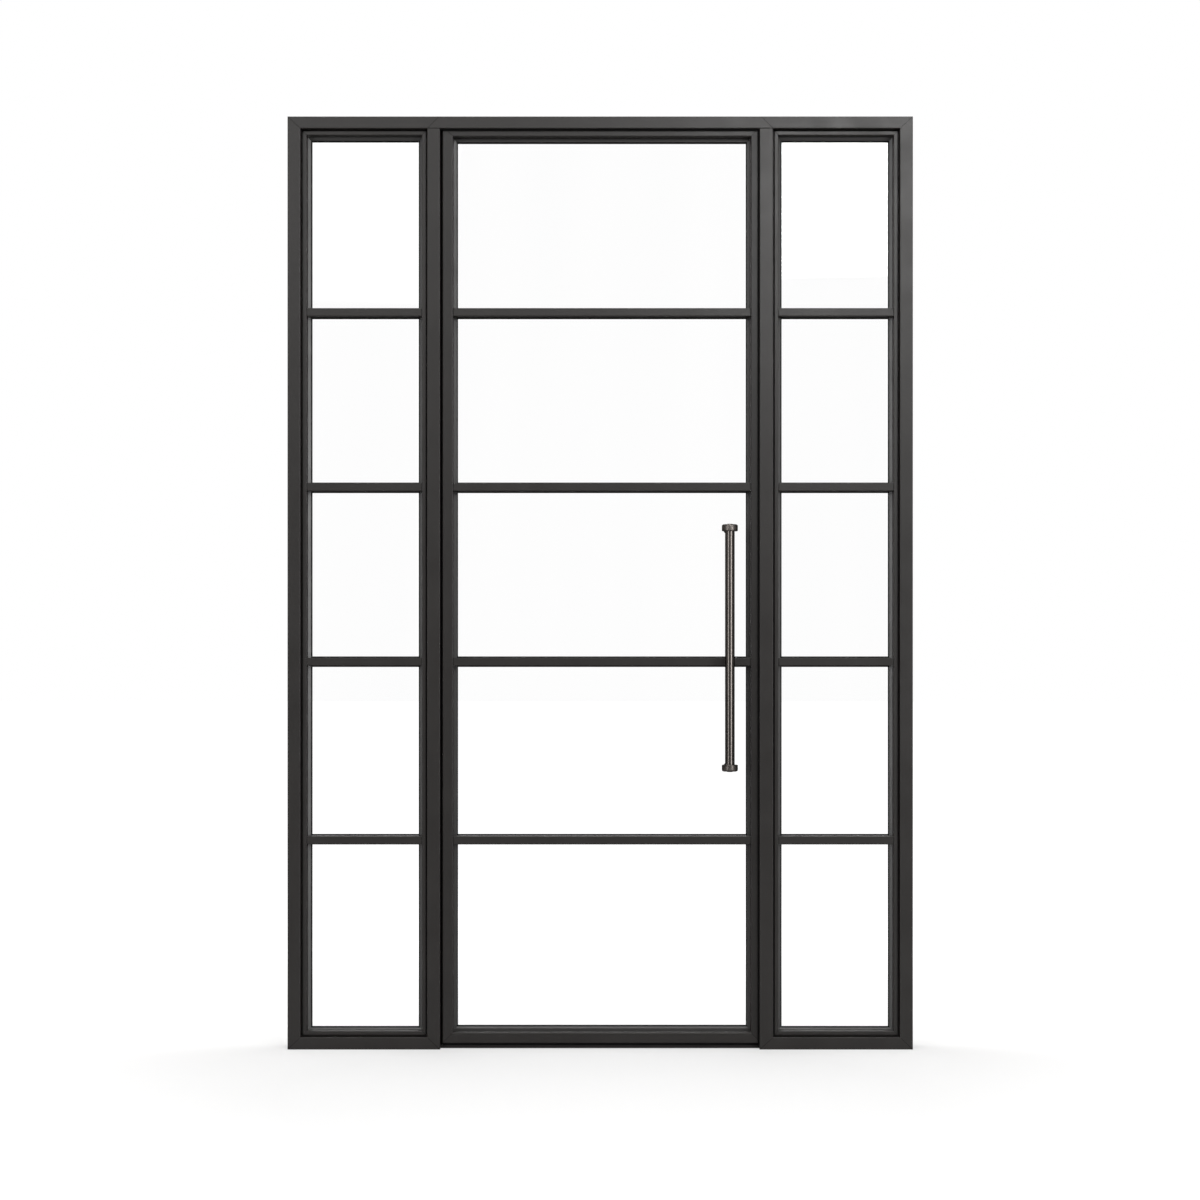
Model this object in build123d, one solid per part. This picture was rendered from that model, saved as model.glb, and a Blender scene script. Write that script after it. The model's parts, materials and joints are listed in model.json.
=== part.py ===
"""Iron wine cellar door: a glazed leaf between two fixed sidelights in one steel frame.

X runs to the right as seen from the room, the front faces -Y and Z is up.
The origin lies at floor level, midway across the frame and midway through its depth.
"""
import os
from build123d import *

os.makedirs("parts", exist_ok=True)

# Outer frame: steel box section, mitred at the corners
frame_width = 1634.0
frame_height = 2438.0
frame_depth = 90.0
jamb_face = 34.0
mullion_face = 35.5
head_face = 31.5
sill_face = 32.0
tube_round = 2.0
door_opening = 833.0
hinge_side_widening = 2.0

# Rebate that the leaf closes into, at the head and on the lock side
lip_depth = 8.0
head_overlap = 10.0
lock_overlap = 6.0

# Clearances round the leaf
face_gap = 5.0
hinge_gap = 5.0
lock_gap = 7.0
head_gap = 5.0
floor_gap = 6.0

# Threshold
threshold_height = 8.5
threshold_setback = 25.0

# Leaf: four mitred members of the same section
leaf_member = 28.5
leaf_depth = 50.0
leaf_round = 3.0

# Fixed sash round each sidelight, parted from the frame by a shadow groove
groove_width = 4.0
groove_depth = 15.0
sash_face = 10.5

# Glazing, alike in all three panels but for the slope of the front beads
bead_setback = 30.0
bead_width = 8.3
door_bottom_bead_extra = 3.0
sidelight_bottom_bead_extra = -3.5
door_bottom_chamfer = 5.0
sidelight_bead_slope = 3.5
door_bead_slope = 1.0
bead_depth = 5.0
glass_depth = 8.0
glass_edge_gap = 1.5
rear_bead_depth = 6.0
edge_round = 1.5
bead_round = 1.0

# Cross bars
bar_face = 21.0
rear_bar_face = 19.0
bar_count = 4
top_bar_drop = 509.4
bar_spacing = 457.6
lowest_spacing = 467.2

# Pull handle
pull_inset = 57.0
pull_length = 642.0
pull_middle = 1049.0
pull_standoff = 45.0
rod_diameter = 25.0
collar_diameter = 41.5
collar_height = 17.5
collar_outer_round = 4.5
collar_inner_round = 2.0
post_diameter = 14.0
spigot_diameter = 10.0
spigot_clearance = 1.0
rear_cap_diameter = 24.0
rear_cap_depth = 7.0

# Barrel hinges behind the hinge stile
hinge_end_distance = 256.0
barrel_diameter = 18.0
barrel_half = 52.0
barrel_part_line = 1.5
barrel_to_leaf = 3.5
barrel_to_mullion = 1.5
pin_diameter = 9.0
pin_length = 40.0
pin_clearance = 0.05
bore_extra = 3.0
frame_wing = 3.0
frame_wing_width = 20.0
leaf_wing = 4.0
leaf_wing_width = 26.0

# Rubber seal
seal_clearance = 0.4
seal_width = 20.0
seal_recess = 14.0
seal_show = 2.8
seal_lip_inset = 1.2
seal_end_gap = 1.0

# Cuts run this far past the faces that they open
cut_past = 1.0

# Planes that follow from the sizes above
half_width = frame_width / 2
front = -frame_depth / 2
back = frame_depth / 2
jamb_inner = half_width - jamb_face
mullion_inner = door_opening / 2
hinge_inner = mullion_inner + hinge_side_widening
mullion_outer = mullion_inner + mullion_face
head_under = frame_height - head_face
lip_back = front + lip_depth
leaf_front = lip_back + face_gap
leaf_back = leaf_front + leaf_depth
leaf_left = -hinge_inner + hinge_gap
leaf_right = mullion_inner + lock_overlap
leaf_bottom = threshold_height + floor_gap
leaf_top = head_under + head_overlap
rebate_side = leaf_right + lock_gap
rebate_top = leaf_top + head_gap
bead_front = leaf_front + bead_setback
glass_front = bead_front + bead_depth
glass_back = glass_front + glass_depth
rear_bead_back = glass_back + rear_bead_depth
hinge_x = -hinge_inner + barrel_to_mullion + barrel_diameter / 2
hinge_y = leaf_back + barrel_to_leaf + barrel_diameter / 2
lowest_hinge = leaf_bottom + hinge_end_distance
highest_hinge = leaf_top - hinge_end_distance
hinge_heights = [lowest_hinge, (lowest_hinge + highest_hinge) / 2, highest_hinge]
pull_x = leaf_right - leaf_member - pull_inset
top_bar = frame_height - top_bar_drop
upper_bars = [top_bar - k * bar_spacing for k in range(bar_count - 1)]
bar_heights = upper_bars + [upper_bars[-1] - lowest_spacing]


def section(points, radius=0.0, rounded=()):
    """A flat polygon, with the listed corners rounded."""
    following = points[1:] + points[:1]
    turn = sum(a[0] * b[1] - b[0] * a[1] for a, b in zip(points, following))
    flat = Polygon(*(points if turn > 0 else points[::-1]), align=None)
    if not rounded:
        return flat
    corners = [points[k] for k in rounded]
    chosen = [
        v
        for v in flat.vertices()
        if any(abs(v.X - a) < 1e-6 and abs(v.Y - b) < 1e-6 for a, b in corners)
    ]
    return fillet(chosen, radius)


def upright(flat, low, high):
    """A section drawn in plan, run up from one height to another."""
    return extrude(Pos(0, 0, low) * flat, amount=high - low)


def level(flat, left, right):
    """A section drawn in depth and height, run across."""
    return extrude(Plane.YZ.offset(left) * flat, amount=right - left)


def outline(points):
    """The front view of a piece, cut right through the depth."""
    return extrude(Plane.XZ * section(points), amount=frame_depth * 2, both=True)


def block(x0, x1, y0, y1, z0, z1):
    """A plain box between pairs of planes."""
    middle = Pos((x0 + x1) / 2, (y0 + y1) / 2, (z0 + z1) / 2)
    return middle * Box(x1 - x0, y1 - y0, z1 - z0)


def ring(points, left, right, bottom, top, radius=0.0, rounded=(), bottom_points=None):
    """Four mitred members round an opening: two stiles and two rails.

    Each point of the section is a distance inwards from the opening's edge and a depth.
    The bottom rail can have a section of its own.
    """
    low_points = bottom_points or points
    reach = max(p[0] for p in points)
    inner_left = left + reach
    inner_right = right - reach
    inner_bottom = bottom + max(p[0] for p in low_points)
    inner_top = top - reach
    west = section([(left + s, y) for s, y in points], radius, rounded)
    east = section([(right - s, y) for s, y in points], radius, rounded)
    south = section([(y, bottom + s) for s, y in low_points], radius, rounded)
    north = section([(y, top - s) for s, y in points], radius, rounded)
    west_cut = [(left, bottom), (inner_left, inner_bottom), (inner_left, inner_top), (left, top)]
    east_cut = [(right, bottom), (inner_right, inner_bottom), (inner_right, inner_top), (right, top)]
    south_cut = [(left, bottom), (right, bottom), (inner_right, inner_bottom), (inner_left, inner_bottom)]
    north_cut = [(left, top), (right, top), (inner_right, inner_top), (inner_left, inner_top)]
    stiles = [
        upright(west, bottom, top) & outline(west_cut),
        upright(east, bottom, top) & outline(east_cut),
    ]
    rails = [
        level(south, left, right) & outline(south_cut),
        level(north, left, right) & outline(north_cut),
    ]
    return stiles, rails


def save(name, *solids):
    """One file for one named node."""
    shapes = []
    for item in solids:
        shapes += item.solids()
    shape = shapes[0] if len(shapes) == 1 else Compound(children=shapes)
    export_step(shape, f"parts/{name}.step")
    print(name, len(shapes))


# Outer frame
all_four = (0, 1, 2, 3)
rebate = block(-hinge_inner, rebate_side, lip_back, back + cut_past, -cut_past, rebate_top)


def box_section(a0, a1, b0, b1):
    """A tube's outside, with its four long edges rounded."""
    return section([(a0, b0), (a1, b0), (a1, b1), (a0, b1)], tube_round, all_four)


for name, side in (("left_jamb", -1), ("right_jamb", 1)):
    jamb_ends = sorted((side * jamb_inner, side * half_width))
    jamb_cut = [
        (side * half_width, 0),
        (side * half_width, frame_height),
        (side * jamb_inner, head_under),
        (side * jamb_inner, sill_face),
    ]
    jamb = upright(box_section(jamb_ends[0], jamb_ends[1], front, back), 0, frame_height)
    save(name, jamb & outline(jamb_cut))

head_cut = [
    (-half_width, frame_height),
    (half_width, frame_height),
    (jamb_inner, head_under),
    (-jamb_inner, head_under),
]
head = level(box_section(front, back, head_under, frame_height), -half_width, half_width)
save("head", (head & outline(head_cut)) - rebate)

for name, side, inner in (("hinge_mullion", -1, hinge_inner), ("lock_mullion", 1, mullion_inner)):
    mullion_ends = sorted((side * inner, side * mullion_outer))
    mullion_cut = [
        (side * inner, 0),
        (side * inner, head_under),
        (side * mullion_outer, head_under),
        (side * mullion_outer, sill_face),
    ]
    mullion = upright(box_section(mullion_ends[0], mullion_ends[1], front, back), 0, head_under)
    save(name, (mullion & outline(mullion_cut)) - rebate)

for name, side, inner in (("left_sill", -1, hinge_inner), ("right_sill", 1, mullion_inner)):
    sill_ends = sorted((side * inner, side * half_width))
    sill_cut = [
        (side * half_width, 0),
        (side * jamb_inner, sill_face),
        (side * mullion_outer, sill_face),
        (side * inner, 0),
    ]
    sill = level(box_section(front, back, 0, sill_face), sill_ends[0], sill_ends[1])
    save(name, (sill & outline(sill_cut)) - rebate)

threshold_front = front + threshold_setback
threshold_points = [
    (threshold_front, 0),
    (back, 0),
    (back, threshold_height),
    (threshold_front, threshold_height),
]
threshold_section = section(threshold_points, edge_round, (2, 3))
save("threshold", level(threshold_section, -hinge_inner, rebate_side))

# Seal: one strip in the hinge gap, two behind the lip
seal_front = lip_back
seal_back = leaf_front - seal_clearance
seal_top = leaf_top - seal_lip_inset
hinge_seal = block(
    -hinge_inner,
    leaf_left - seal_clearance,
    leaf_front + seal_recess,
    leaf_front + seal_recess + seal_width,
    leaf_bottom,
    seal_top,
)
lock_seal = block(
    mullion_inner - seal_show,
    leaf_right - seal_lip_inset / 2,
    seal_front,
    seal_back,
    leaf_bottom,
    head_under - seal_show - seal_end_gap,
)
head_seal = block(
    leaf_left + seal_end_gap,
    leaf_right - seal_lip_inset,
    seal_front,
    seal_back,
    head_under - seal_show,
    seal_top,
)
save("door_seal", hinge_seal, lock_seal, head_seal)

# Barrel hinges: the lower half with its pin on the mullion, the upper half on the leaf
frame_halves = []
leaf_halves = []
barrel_radius = barrel_diameter / 2
for height in hinge_heights:
    foot = height - barrel_half
    lower = Pos(hinge_x, hinge_y, foot) * Cylinder(
        barrel_radius, barrel_half, align=(Align.CENTER, Align.CENTER, Align.MIN)
    )
    lower += Pos(hinge_x, hinge_y, height) * Cylinder(
        pin_diameter / 2, pin_length, align=(Align.CENTER, Align.CENTER, Align.MIN)
    )
    wing_back = hinge_y - barrel_radius + frame_wing_width
    lower += block(
        -hinge_inner,
        -hinge_inner + frame_wing,
        hinge_y - barrel_radius,
        wing_back,
        foot,
        height,
    )
    frame_halves.append(lower)
    seat = height + barrel_part_line
    upper = Pos(hinge_x, hinge_y, seat) * Cylinder(
        barrel_radius, barrel_half, align=(Align.CENTER, Align.CENTER, Align.MIN)
    )
    upper += block(
        hinge_x - barrel_to_leaf,
        leaf_left + leaf_wing_width,
        leaf_back,
        leaf_back + leaf_wing,
        seat,
        seat + barrel_half,
    )
    bore = Pos(hinge_x, hinge_y, seat) * Cylinder(
        pin_diameter / 2 + pin_clearance,
        pin_length - barrel_part_line + bore_extra,
        align=(Align.CENTER, Align.CENTER, Align.MIN),
    )
    leaf_halves.append(upper - bore)
save("hinge_frame_halves", *frame_halves)
save("hinge_leaf_halves", *leaf_halves)

# Leaf
leaf_points = [(0, leaf_front), (leaf_member, leaf_front), (leaf_member, leaf_back), (0, leaf_back)]
leaf_stiles, leaf_rails = ring(
    leaf_points, leaf_left, leaf_right, leaf_bottom, leaf_top, leaf_round, all_four
)
save("hinge_stile", leaf_stiles[0])
save("lock_stile", leaf_stiles[1])
save("bottom_rail", leaf_rails[0])
save("top_rail", leaf_rails[1])

# Glazing of the three panels
post_heights = [
    pull_middle - pull_length / 2 + collar_height / 2,
    pull_middle + pull_length / 2 - collar_height / 2,
]
spigot_hole = spigot_diameter / 2 + spigot_clearance


def glaze(panel, left, right, bottom, top):
    """Beads, glass and cross bars inside one panel's frame, given its inner edges."""
    is_door = panel == "door"
    bead_nose = bead_front + (door_bead_slope if is_door else sidelight_bead_slope)
    front_points = [(0, bead_front), (bead_width, bead_nose), (bead_width, glass_front), (0, glass_front)]
    low_bead = bead_width + (door_bottom_bead_extra if is_door else sidelight_bottom_bead_extra)
    low_flat = low_bead - door_bottom_chamfer if is_door else 0.0
    low_nose = bead_front + sidelight_bead_slope
    low_points = [(low_flat, bead_front), (low_bead, low_nose), (low_bead, glass_front), (0, glass_front)]
    if is_door:
        low_points = low_points + [(0, bead_front)]
    stiles, rails = ring(front_points, left, right, bottom, top, bead_round, (1,), low_points)
    save(f"{panel}_bead_stiles", *stiles)
    save(f"{panel}_bead_rails", *rails)
    rear_points = [(0, glass_back), (bead_width, glass_back), (bead_width, rear_bead_back), (0, rear_bead_back)]
    rear_low = [(0, glass_back), (low_bead, glass_back), (low_bead, rear_bead_back), (0, rear_bead_back)]
    rear_stiles, rear_rails = ring(rear_points, left, right, bottom, top, bead_round, (2,), rear_low)
    save(f"{panel}_rear_bead_stiles", *rear_stiles)
    save(f"{panel}_rear_bead_rails", *rear_rails)
    glass = block(
        left + glass_edge_gap,
        right - glass_edge_gap,
        glass_front,
        glass_back,
        bottom + glass_edge_gap,
        top - glass_edge_gap,
    )
    if is_door:
        for height in post_heights:
            glass -= Pos(pull_x, glass_front, height) * Rot(90, 0, 0) * Cylinder(spigot_hole, glass_depth * 3)
    save(f"{panel}_glass", glass)
    bars = []
    rear_bars = []
    for height in bar_heights:
        low = height - bar_face / 2
        high = height + bar_face / 2
        bar_points = [(leaf_front, low), (leaf_front, high), (glass_front, high), (glass_front, low)]
        bar = level(section(bar_points, edge_round, (0, 1)), left, right)
        bars.append(bar - stiles[0] - stiles[1])
        rear_bars.append(
            block(
                left + bead_width,
                right - bead_width,
                glass_back,
                rear_bead_back,
                height - rear_bar_face / 2,
                height + rear_bar_face / 2,
            )
        )
    save(f"{panel}_bars", *bars)
    save(f"{panel}_rear_bars", *rear_bars)


glaze(
    "door",
    leaf_left + leaf_member,
    leaf_right - leaf_member,
    leaf_bottom + leaf_member,
    leaf_top - leaf_member,
)

# Sidelights: a grooved sash in each, then the glazing
sash_reach = groove_width + sash_face
sash_points = [
    (0, leaf_front + groove_depth),
    (groove_width, leaf_front + groove_depth),
    (groove_width, leaf_front),
    (sash_reach, leaf_front),
    (sash_reach, leaf_back),
    (0, leaf_back),
]
for panel, side in (("left", -1), ("right", 1)):
    edges = sorted((side * mullion_outer, side * jamb_inner))
    sash_stiles, sash_rails = ring(
        sash_points, edges[0], edges[1], sill_face, head_under, edge_round, (2, 3)
    )
    save(f"{panel}_sash_stiles", *sash_stiles)
    save(f"{panel}_sash_rails", *sash_rails)
    glaze(
        panel,
        edges[0] + sash_reach,
        edges[1] - sash_reach,
        sill_face + sash_reach,
        head_under - sash_reach,
    )

# Pull: a rod between two turned collars, each on a post bolted through the glass
rod_y = leaf_front - pull_standoff
rod_low = pull_middle - pull_length / 2 + collar_height
rod_high = pull_middle + pull_length / 2 - collar_height
upward = (Align.CENTER, Align.CENTER, Align.MIN)
save("pull_rod", Pos(pull_x, rod_y, rod_low) * Cylinder(rod_diameter / 2, rod_high - rod_low, align=upward))

rear_caps = []
for name, height, outwards in (
    ("pull_bottom_bracket", post_heights[0], -1),
    ("pull_top_bracket", post_heights[1], 1),
):
    collar = Pos(pull_x, rod_y, height) * Cylinder(collar_diameter / 2, collar_height)
    rims = collar.edges().filter_by(GeomType.CIRCLE).sort_by(Axis.Z)
    outer_rim = rims[-1] if outwards > 0 else rims[0]
    collar = fillet(outer_rim, collar_outer_round)
    again = collar.edges().filter_by(GeomType.CIRCLE).sort_by(Axis.Z)
    inner_again = again[0] if outwards > 0 else again[-1]
    collar = fillet(inner_again, collar_inner_round)
    post_length = glass_front - rod_y
    post = Pos(pull_x, rod_y + post_length / 2, height) * Rot(90, 0, 0)
    collar += post * Cylinder(post_diameter / 2, post_length)
    spigot_length = glass_back - rod_y
    spigot = Pos(pull_x, rod_y + spigot_length / 2, height) * Rot(90, 0, 0)
    collar += spigot * Cylinder(spigot_diameter / 2, spigot_length)
    save(name, collar)
    cap = Pos(pull_x, glass_back + rear_cap_depth / 2, height) * Rot(90, 0, 0)
    cap = cap * Cylinder(rear_cap_diameter / 2, rear_cap_depth)
    rim = cap.edges().filter_by(GeomType.CIRCLE).sort_by(Axis.Y)[-1]
    rear_caps.append(fillet(rim, collar_inner_round))
save("pull_rear_caps", *rear_caps)
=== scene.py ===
# %% [markdown]
# # An iron wine cellar door
# The solids of this door are already made: a mitred steel frame, two fixed sidelights and a
# glazed leaf with a long pull. This lesson dresses them. It sets the camera and the studio,
# mixes the paint, metal, rubber and glass, and then models the small things that a fabricator
# adds at the end: gaskets and rubbers, dressed weld lines, screws, hinge caps and washers.

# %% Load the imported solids
import json
import math
import bpy
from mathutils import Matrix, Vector


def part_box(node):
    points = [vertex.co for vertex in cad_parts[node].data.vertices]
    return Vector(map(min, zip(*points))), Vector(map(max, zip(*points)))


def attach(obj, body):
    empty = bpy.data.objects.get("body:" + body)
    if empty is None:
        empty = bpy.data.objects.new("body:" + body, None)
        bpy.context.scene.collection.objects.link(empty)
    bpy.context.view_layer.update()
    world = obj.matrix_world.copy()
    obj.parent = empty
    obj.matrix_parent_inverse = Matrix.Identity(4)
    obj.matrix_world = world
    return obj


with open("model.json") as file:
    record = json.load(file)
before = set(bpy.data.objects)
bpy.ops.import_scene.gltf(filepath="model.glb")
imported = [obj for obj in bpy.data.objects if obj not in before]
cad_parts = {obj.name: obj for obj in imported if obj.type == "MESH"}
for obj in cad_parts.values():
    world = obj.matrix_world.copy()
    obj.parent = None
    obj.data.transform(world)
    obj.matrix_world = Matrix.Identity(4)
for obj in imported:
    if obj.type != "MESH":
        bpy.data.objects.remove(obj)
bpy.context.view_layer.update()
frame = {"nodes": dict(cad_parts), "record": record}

nodes = frame["nodes"]
scene = bpy.context.scene
mm = 0.001

# %% [markdown]
# ## Camera
# The door is seen square on, with its uprights parallel, so the camera is level. A level camera
# at about a metre above the floor would put the door too high in the picture, so the lens is
# shifted instead of tilted, as with an architect's view camera.

# %% Camera
frame_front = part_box("left_jamb")[0].y
picture_width = 3.1346
picture_pixels = 1200
horizon_drop_pixels = 65.25
lens = 72.0
sensor = 36.0
eye_height = 1.004
eye_aside = -0.5 * mm
camera_data = bpy.data.cameras.new("view_camera")
camera_data.lens = lens
camera_data.sensor_width = sensor
camera_data.shift_y = horizon_drop_pixels / picture_pixels
camera = bpy.data.objects.new("view_camera", camera_data)
camera.location = (eye_aside, frame_front - lens * picture_width / sensor, eye_height)
camera.rotation_euler = (math.radians(90), 0, 0)
scene.collection.objects.link(camera)
scene.camera = camera
print("camera at", tuple(round(v, 3) for v in camera.location))

# %% [markdown]
# ## Signals
# The surround and the floor are white to the lens and dimmer to the steel, so both have to tell
# one ray of light from another. These helpers combine two signals, fade one in over a range, and
# pick out what the lens sees.


# %% Signals
def combine(tree, operation, one, other):
    """Two signals made into one, such as the larger of them."""
    step = tree.nodes.new("ShaderNodeMath")
    step.operation = operation
    tree.links.new(one, step.inputs[0])
    if isinstance(other, float):
        step.inputs[1].default_value = other
    else:
        tree.links.new(other, step.inputs[1])
    return step.outputs[0]


def fade(tree, signal, start, end, low=0.0, high=1.0):
    """A number that goes from low to high while a signal goes from start to end."""
    step = tree.nodes.new("ShaderNodeMapRange")
    step.inputs["From Min"].default_value = start
    step.inputs["From Max"].default_value = end
    step.inputs["To Min"].default_value = low
    step.inputs["To Max"].default_value = high
    tree.links.new(signal, step.inputs["Value"])
    return step.outputs["Result"]


def seen_by_lens(tree, path):
    """1 for what the lens sees straight on or through glass, 0 for light on its way to a surface."""
    bounces = combine(tree, "ADD", path.outputs["Diffuse Depth"], path.outputs["Glossy Depth"])
    direct = combine(tree, "LESS_THAN", bounces, 0.5)
    through = combine(tree, "MULTIPLY", path.outputs["Is Transmission Ray"], direct)
    return combine(tree, "MAXIMUM", path.outputs["Is Camera Ray"], through)


print("signal helpers ready")

# %% [markdown]
# ## Surround
# The door stands before a white sweep. The sweep is white to the lens and through glass, and
# also where steel mirrors what is behind the door, save towards the right, where it is dark and
# gives the pull its black right edge. The half of the room behind the camera is dimmer too, so
# the steel there shows only the soft boxes. What the surround sheds on things is a modest even
# light, so a colour looks as it is written.

# %% Surround
room_strength = 0.34
room_tint = (1.0, 0.98, 0.965, 1)
white = (1, 1, 1, 1)
scene.view_settings.view_transform = "Standard"
surround = bpy.data.worlds.new("white_surround")
scene.world = surround
surround.use_nodes = True
tree = surround.node_tree
tree.nodes.clear()
path = tree.nodes.new("ShaderNodeLightPath")
gaze = tree.nodes.new("ShaderNodeTexCoord")
heading = tree.nodes.new("ShaderNodeSeparateXYZ")
tree.links.new(gaze.outputs["Generated"], heading.inputs[0])
to_right = combine(tree, "MAXIMUM", heading.outputs["X"], 0.0)
to_back = combine(tree, "SUBTRACT", heading.outputs["Y"], to_right)
well_behind = fade(tree, to_back, start=0.5, end=0.85)
mirrored = combine(tree, "MULTIPLY", well_behind, path.outputs["Is Glossy Ray"])
seen = combine(tree, "MAXIMUM", seen_by_lens(tree, path), mirrored)
room_light = tree.nodes.new("ShaderNodeBackground")
room_light.inputs["Color"].default_value = room_tint
room_light.inputs["Strength"].default_value = room_strength
white_sweep = tree.nodes.new("ShaderNodeBackground")
white_sweep.inputs["Color"].default_value = white
white_sweep.inputs["Strength"].default_value = 1.0
choose = tree.nodes.new("ShaderNodeMixShader")
world_out = tree.nodes.new("ShaderNodeOutputWorld")
tree.links.new(seen, choose.inputs["Fac"])
tree.links.new(room_light.outputs[0], choose.inputs[1])
tree.links.new(white_sweep.outputs[0], choose.inputs[2])
tree.links.new(choose.outputs[0], world_out.inputs["Surface"])
print("surround:", surround.name)

# %% [markdown]
# ## Floor
# The floor is matt and pale. To the lens it is lifted to white, more so further away, where a
# real sweep would curve up into the wall. Near the door the lift is less, and the soft shadow
# at its foot still shows. What it throws back on the door is painted. Just before the door its
# colour is paler, a painted pool of light that lights the sills. Further off and on the cellar
# side it is darker, as painted shade, so that the undersides of the bars stay dark.

# %% Floor
floor_size = 120.0
floor_drop = 0.5 * mm
bpy.ops.object.select_all(action="DESELECT")
bpy.ops.mesh.primitive_plane_add(size=floor_size, location=(0, 0, -floor_drop))
floor = bpy.context.active_object
floor.name = "studio_floor"
bpy.ops.object.transform_apply(location=True, rotation=True, scale=True)
print("floor, m across:", floor_size)

# %% Floor paint
chalk_tone = (0.50, 0.50, 0.50, 1)
shadow_middle = (0, -0.7, 0)
floor_paint = bpy.data.materials.new("pale_floor")
floor_paint.use_nodes = True
tree = floor_paint.node_tree
tree.nodes.clear()
path = tree.nodes.new("ShaderNodeLightPath")
place = tree.nodes.new("ShaderNodeTexCoord")
floor_place = tree.nodes.new("ShaderNodeSeparateXYZ")
tree.links.new(place.outputs["Object"], floor_place.inputs[0])
# Painted light and shade: the floor's colour for light thrown back is paler just before the door and
# darker behind it.
painted_light_apron = fade(tree, floor_place.outputs["Y"], start=-4.0, end=-0.5, low=0.22, high=0.50)
painted_cellar_shade = fade(tree, floor_place.outputs["Y"], start=-0.03, end=0.03, low=1.0, high=0.44)
shade = tree.nodes.new("ShaderNodeBsdfDiffuse")
tree.links.new(combine(tree, "MULTIPLY", painted_light_apron, painted_cellar_shade), shade.inputs["Color"])
away = tree.nodes.new("ShaderNodeVectorMath")
away.operation = "DISTANCE"
away.inputs[1].default_value = shadow_middle
tree.links.new(place.outputs["Object"], away.inputs[0])
rise = fade(tree, away.outputs["Value"], start=0.75, end=3.0, low=0.48, high=0.905)
lift = tree.nodes.new("ShaderNodeEmission")
lift.inputs["Color"].default_value = white
tree.links.new(rise, lift.inputs["Strength"])
chalk = tree.nodes.new("ShaderNodeBsdfDiffuse")
chalk.inputs["Color"].default_value = chalk_tone
lifted = tree.nodes.new("ShaderNodeAddShader")
choose = tree.nodes.new("ShaderNodeMixShader")
floor_out = tree.nodes.new("ShaderNodeOutputMaterial")
tree.links.new(chalk.outputs[0], lifted.inputs[0])
tree.links.new(lift.outputs[0], lifted.inputs[1])
tree.links.new(seen_by_lens(tree, path), choose.inputs["Fac"])
tree.links.new(shade.outputs[0], choose.inputs[1])
tree.links.new(lifted.outputs[0], choose.inputs[2])
tree.links.new(choose.outputs[0], floor_out.inputs["Surface"])
floor.data.materials.append(floor_paint)
print("floor:", floor.name, "in", floor_paint.name)

# %% [markdown]
# ## Lamps
# Soft boxes. A bright one stands high to the right beside the camera, and its sheen brightens
# the upper right of the frame; a weaker, wider one does the same at the upper left. Two tall
# strips stand to the left and right at the height of the pull, and draw the two upright lights
# along its rod. One hangs high in front and catches the sloped bottom beads. One hangs overhead,
# a little behind the door, and lays the soft shadow in front of it. The last stands behind, out
# of the lens's sight, so that the cellar side can be read too; it is kept off the floor, or its
# own shadows would cross the one in front.


# %% Lamps
def soft_box(name, place, aim, width, height, glow):
    """A rectangle of soft light that faces a point. Glow is how bright it looks, white being 1."""
    lamp = bpy.data.lights.new(name, "AREA")
    lamp.shape = "RECTANGLE"
    lamp.size = width
    lamp.size_y = height
    lamp.energy = glow * math.pi * width * height
    holder = bpy.data.objects.new(name, lamp)
    holder.location = place
    holder.rotation_euler = (Vector(aim) - Vector(place)).to_track_quat("-Z", "Y").to_euler()
    scene.collection.objects.link(holder)
    return holder


soft_box("key_box", (1.32, -6.2, 3.71), (0.6, 0, 2.0), width=0.9, height=1.35, glow=17.0)
soft_box("fill_box", (-1.7, -6.2, 3.8), (0, 0, 1.6), width=2.0, height=1.77, glow=2.0)
soft_box("right_strip", (4.28, -6.13, 1.82), (-0.2, 0, 1.2), width=1.96, height=3.6, glow=6.3)
soft_box("left_strip", (-4.48, -5.99, 1.82), (0.3, 0, 1.2), width=1.96, height=3.6, glow=4.2)
soft_box("ridge_box", (0, -2.7, 4.9), (0, 0, 0), width=3.6, height=1.0, glow=4.0)
soft_box("top_box", (0, 0.5, 5.2), (0, -0.2, 0), width=3.2, height=1.2, glow=9.0)
rear_box = soft_box("rear_box", (0, 5.6, 4.0), (0, 0, 1.2), width=4.0, height=1.8, glow=6.0)
rear_box.visible_camera = False
rear_box.visible_transmission = False
unlit_from_behind = bpy.data.collections.new("unlit_from_behind")
unlit_from_behind.objects.link(floor)
unlit_from_behind.collection_objects[0].light_linking.link_state = "EXCLUDE"
rear_box.light_linking.receiver_collection = unlit_from_behind
print("lamps:", len(bpy.data.lights))

# %% [markdown]
# ## Finishes
# Each finish is one node tree. Patterns read Object coordinates, which are metres here, so a
# scale of 700 gives grains of about a millimetre and a half on every piece alike. The middle of
# a noise pattern holds nearly all of it, so only that range is put to use.


# %% A bare material to build on
def start_finish(name):
    """A material with one Principled shader, and its node tree."""
    finish = bpy.data.materials.new(name)
    finish.use_nodes = True
    tree = finish.node_tree
    tree.nodes.clear()
    shader = tree.nodes.new("ShaderNodeBsdfPrincipled")
    out = tree.nodes.new("ShaderNodeOutputMaterial")
    tree.links.new(shader.outputs[0], out.inputs["Surface"])
    return finish, tree, shader


print("ready to start a finish")

# %% Patterns
pattern_low = 0.3
pattern_high = 0.7


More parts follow.
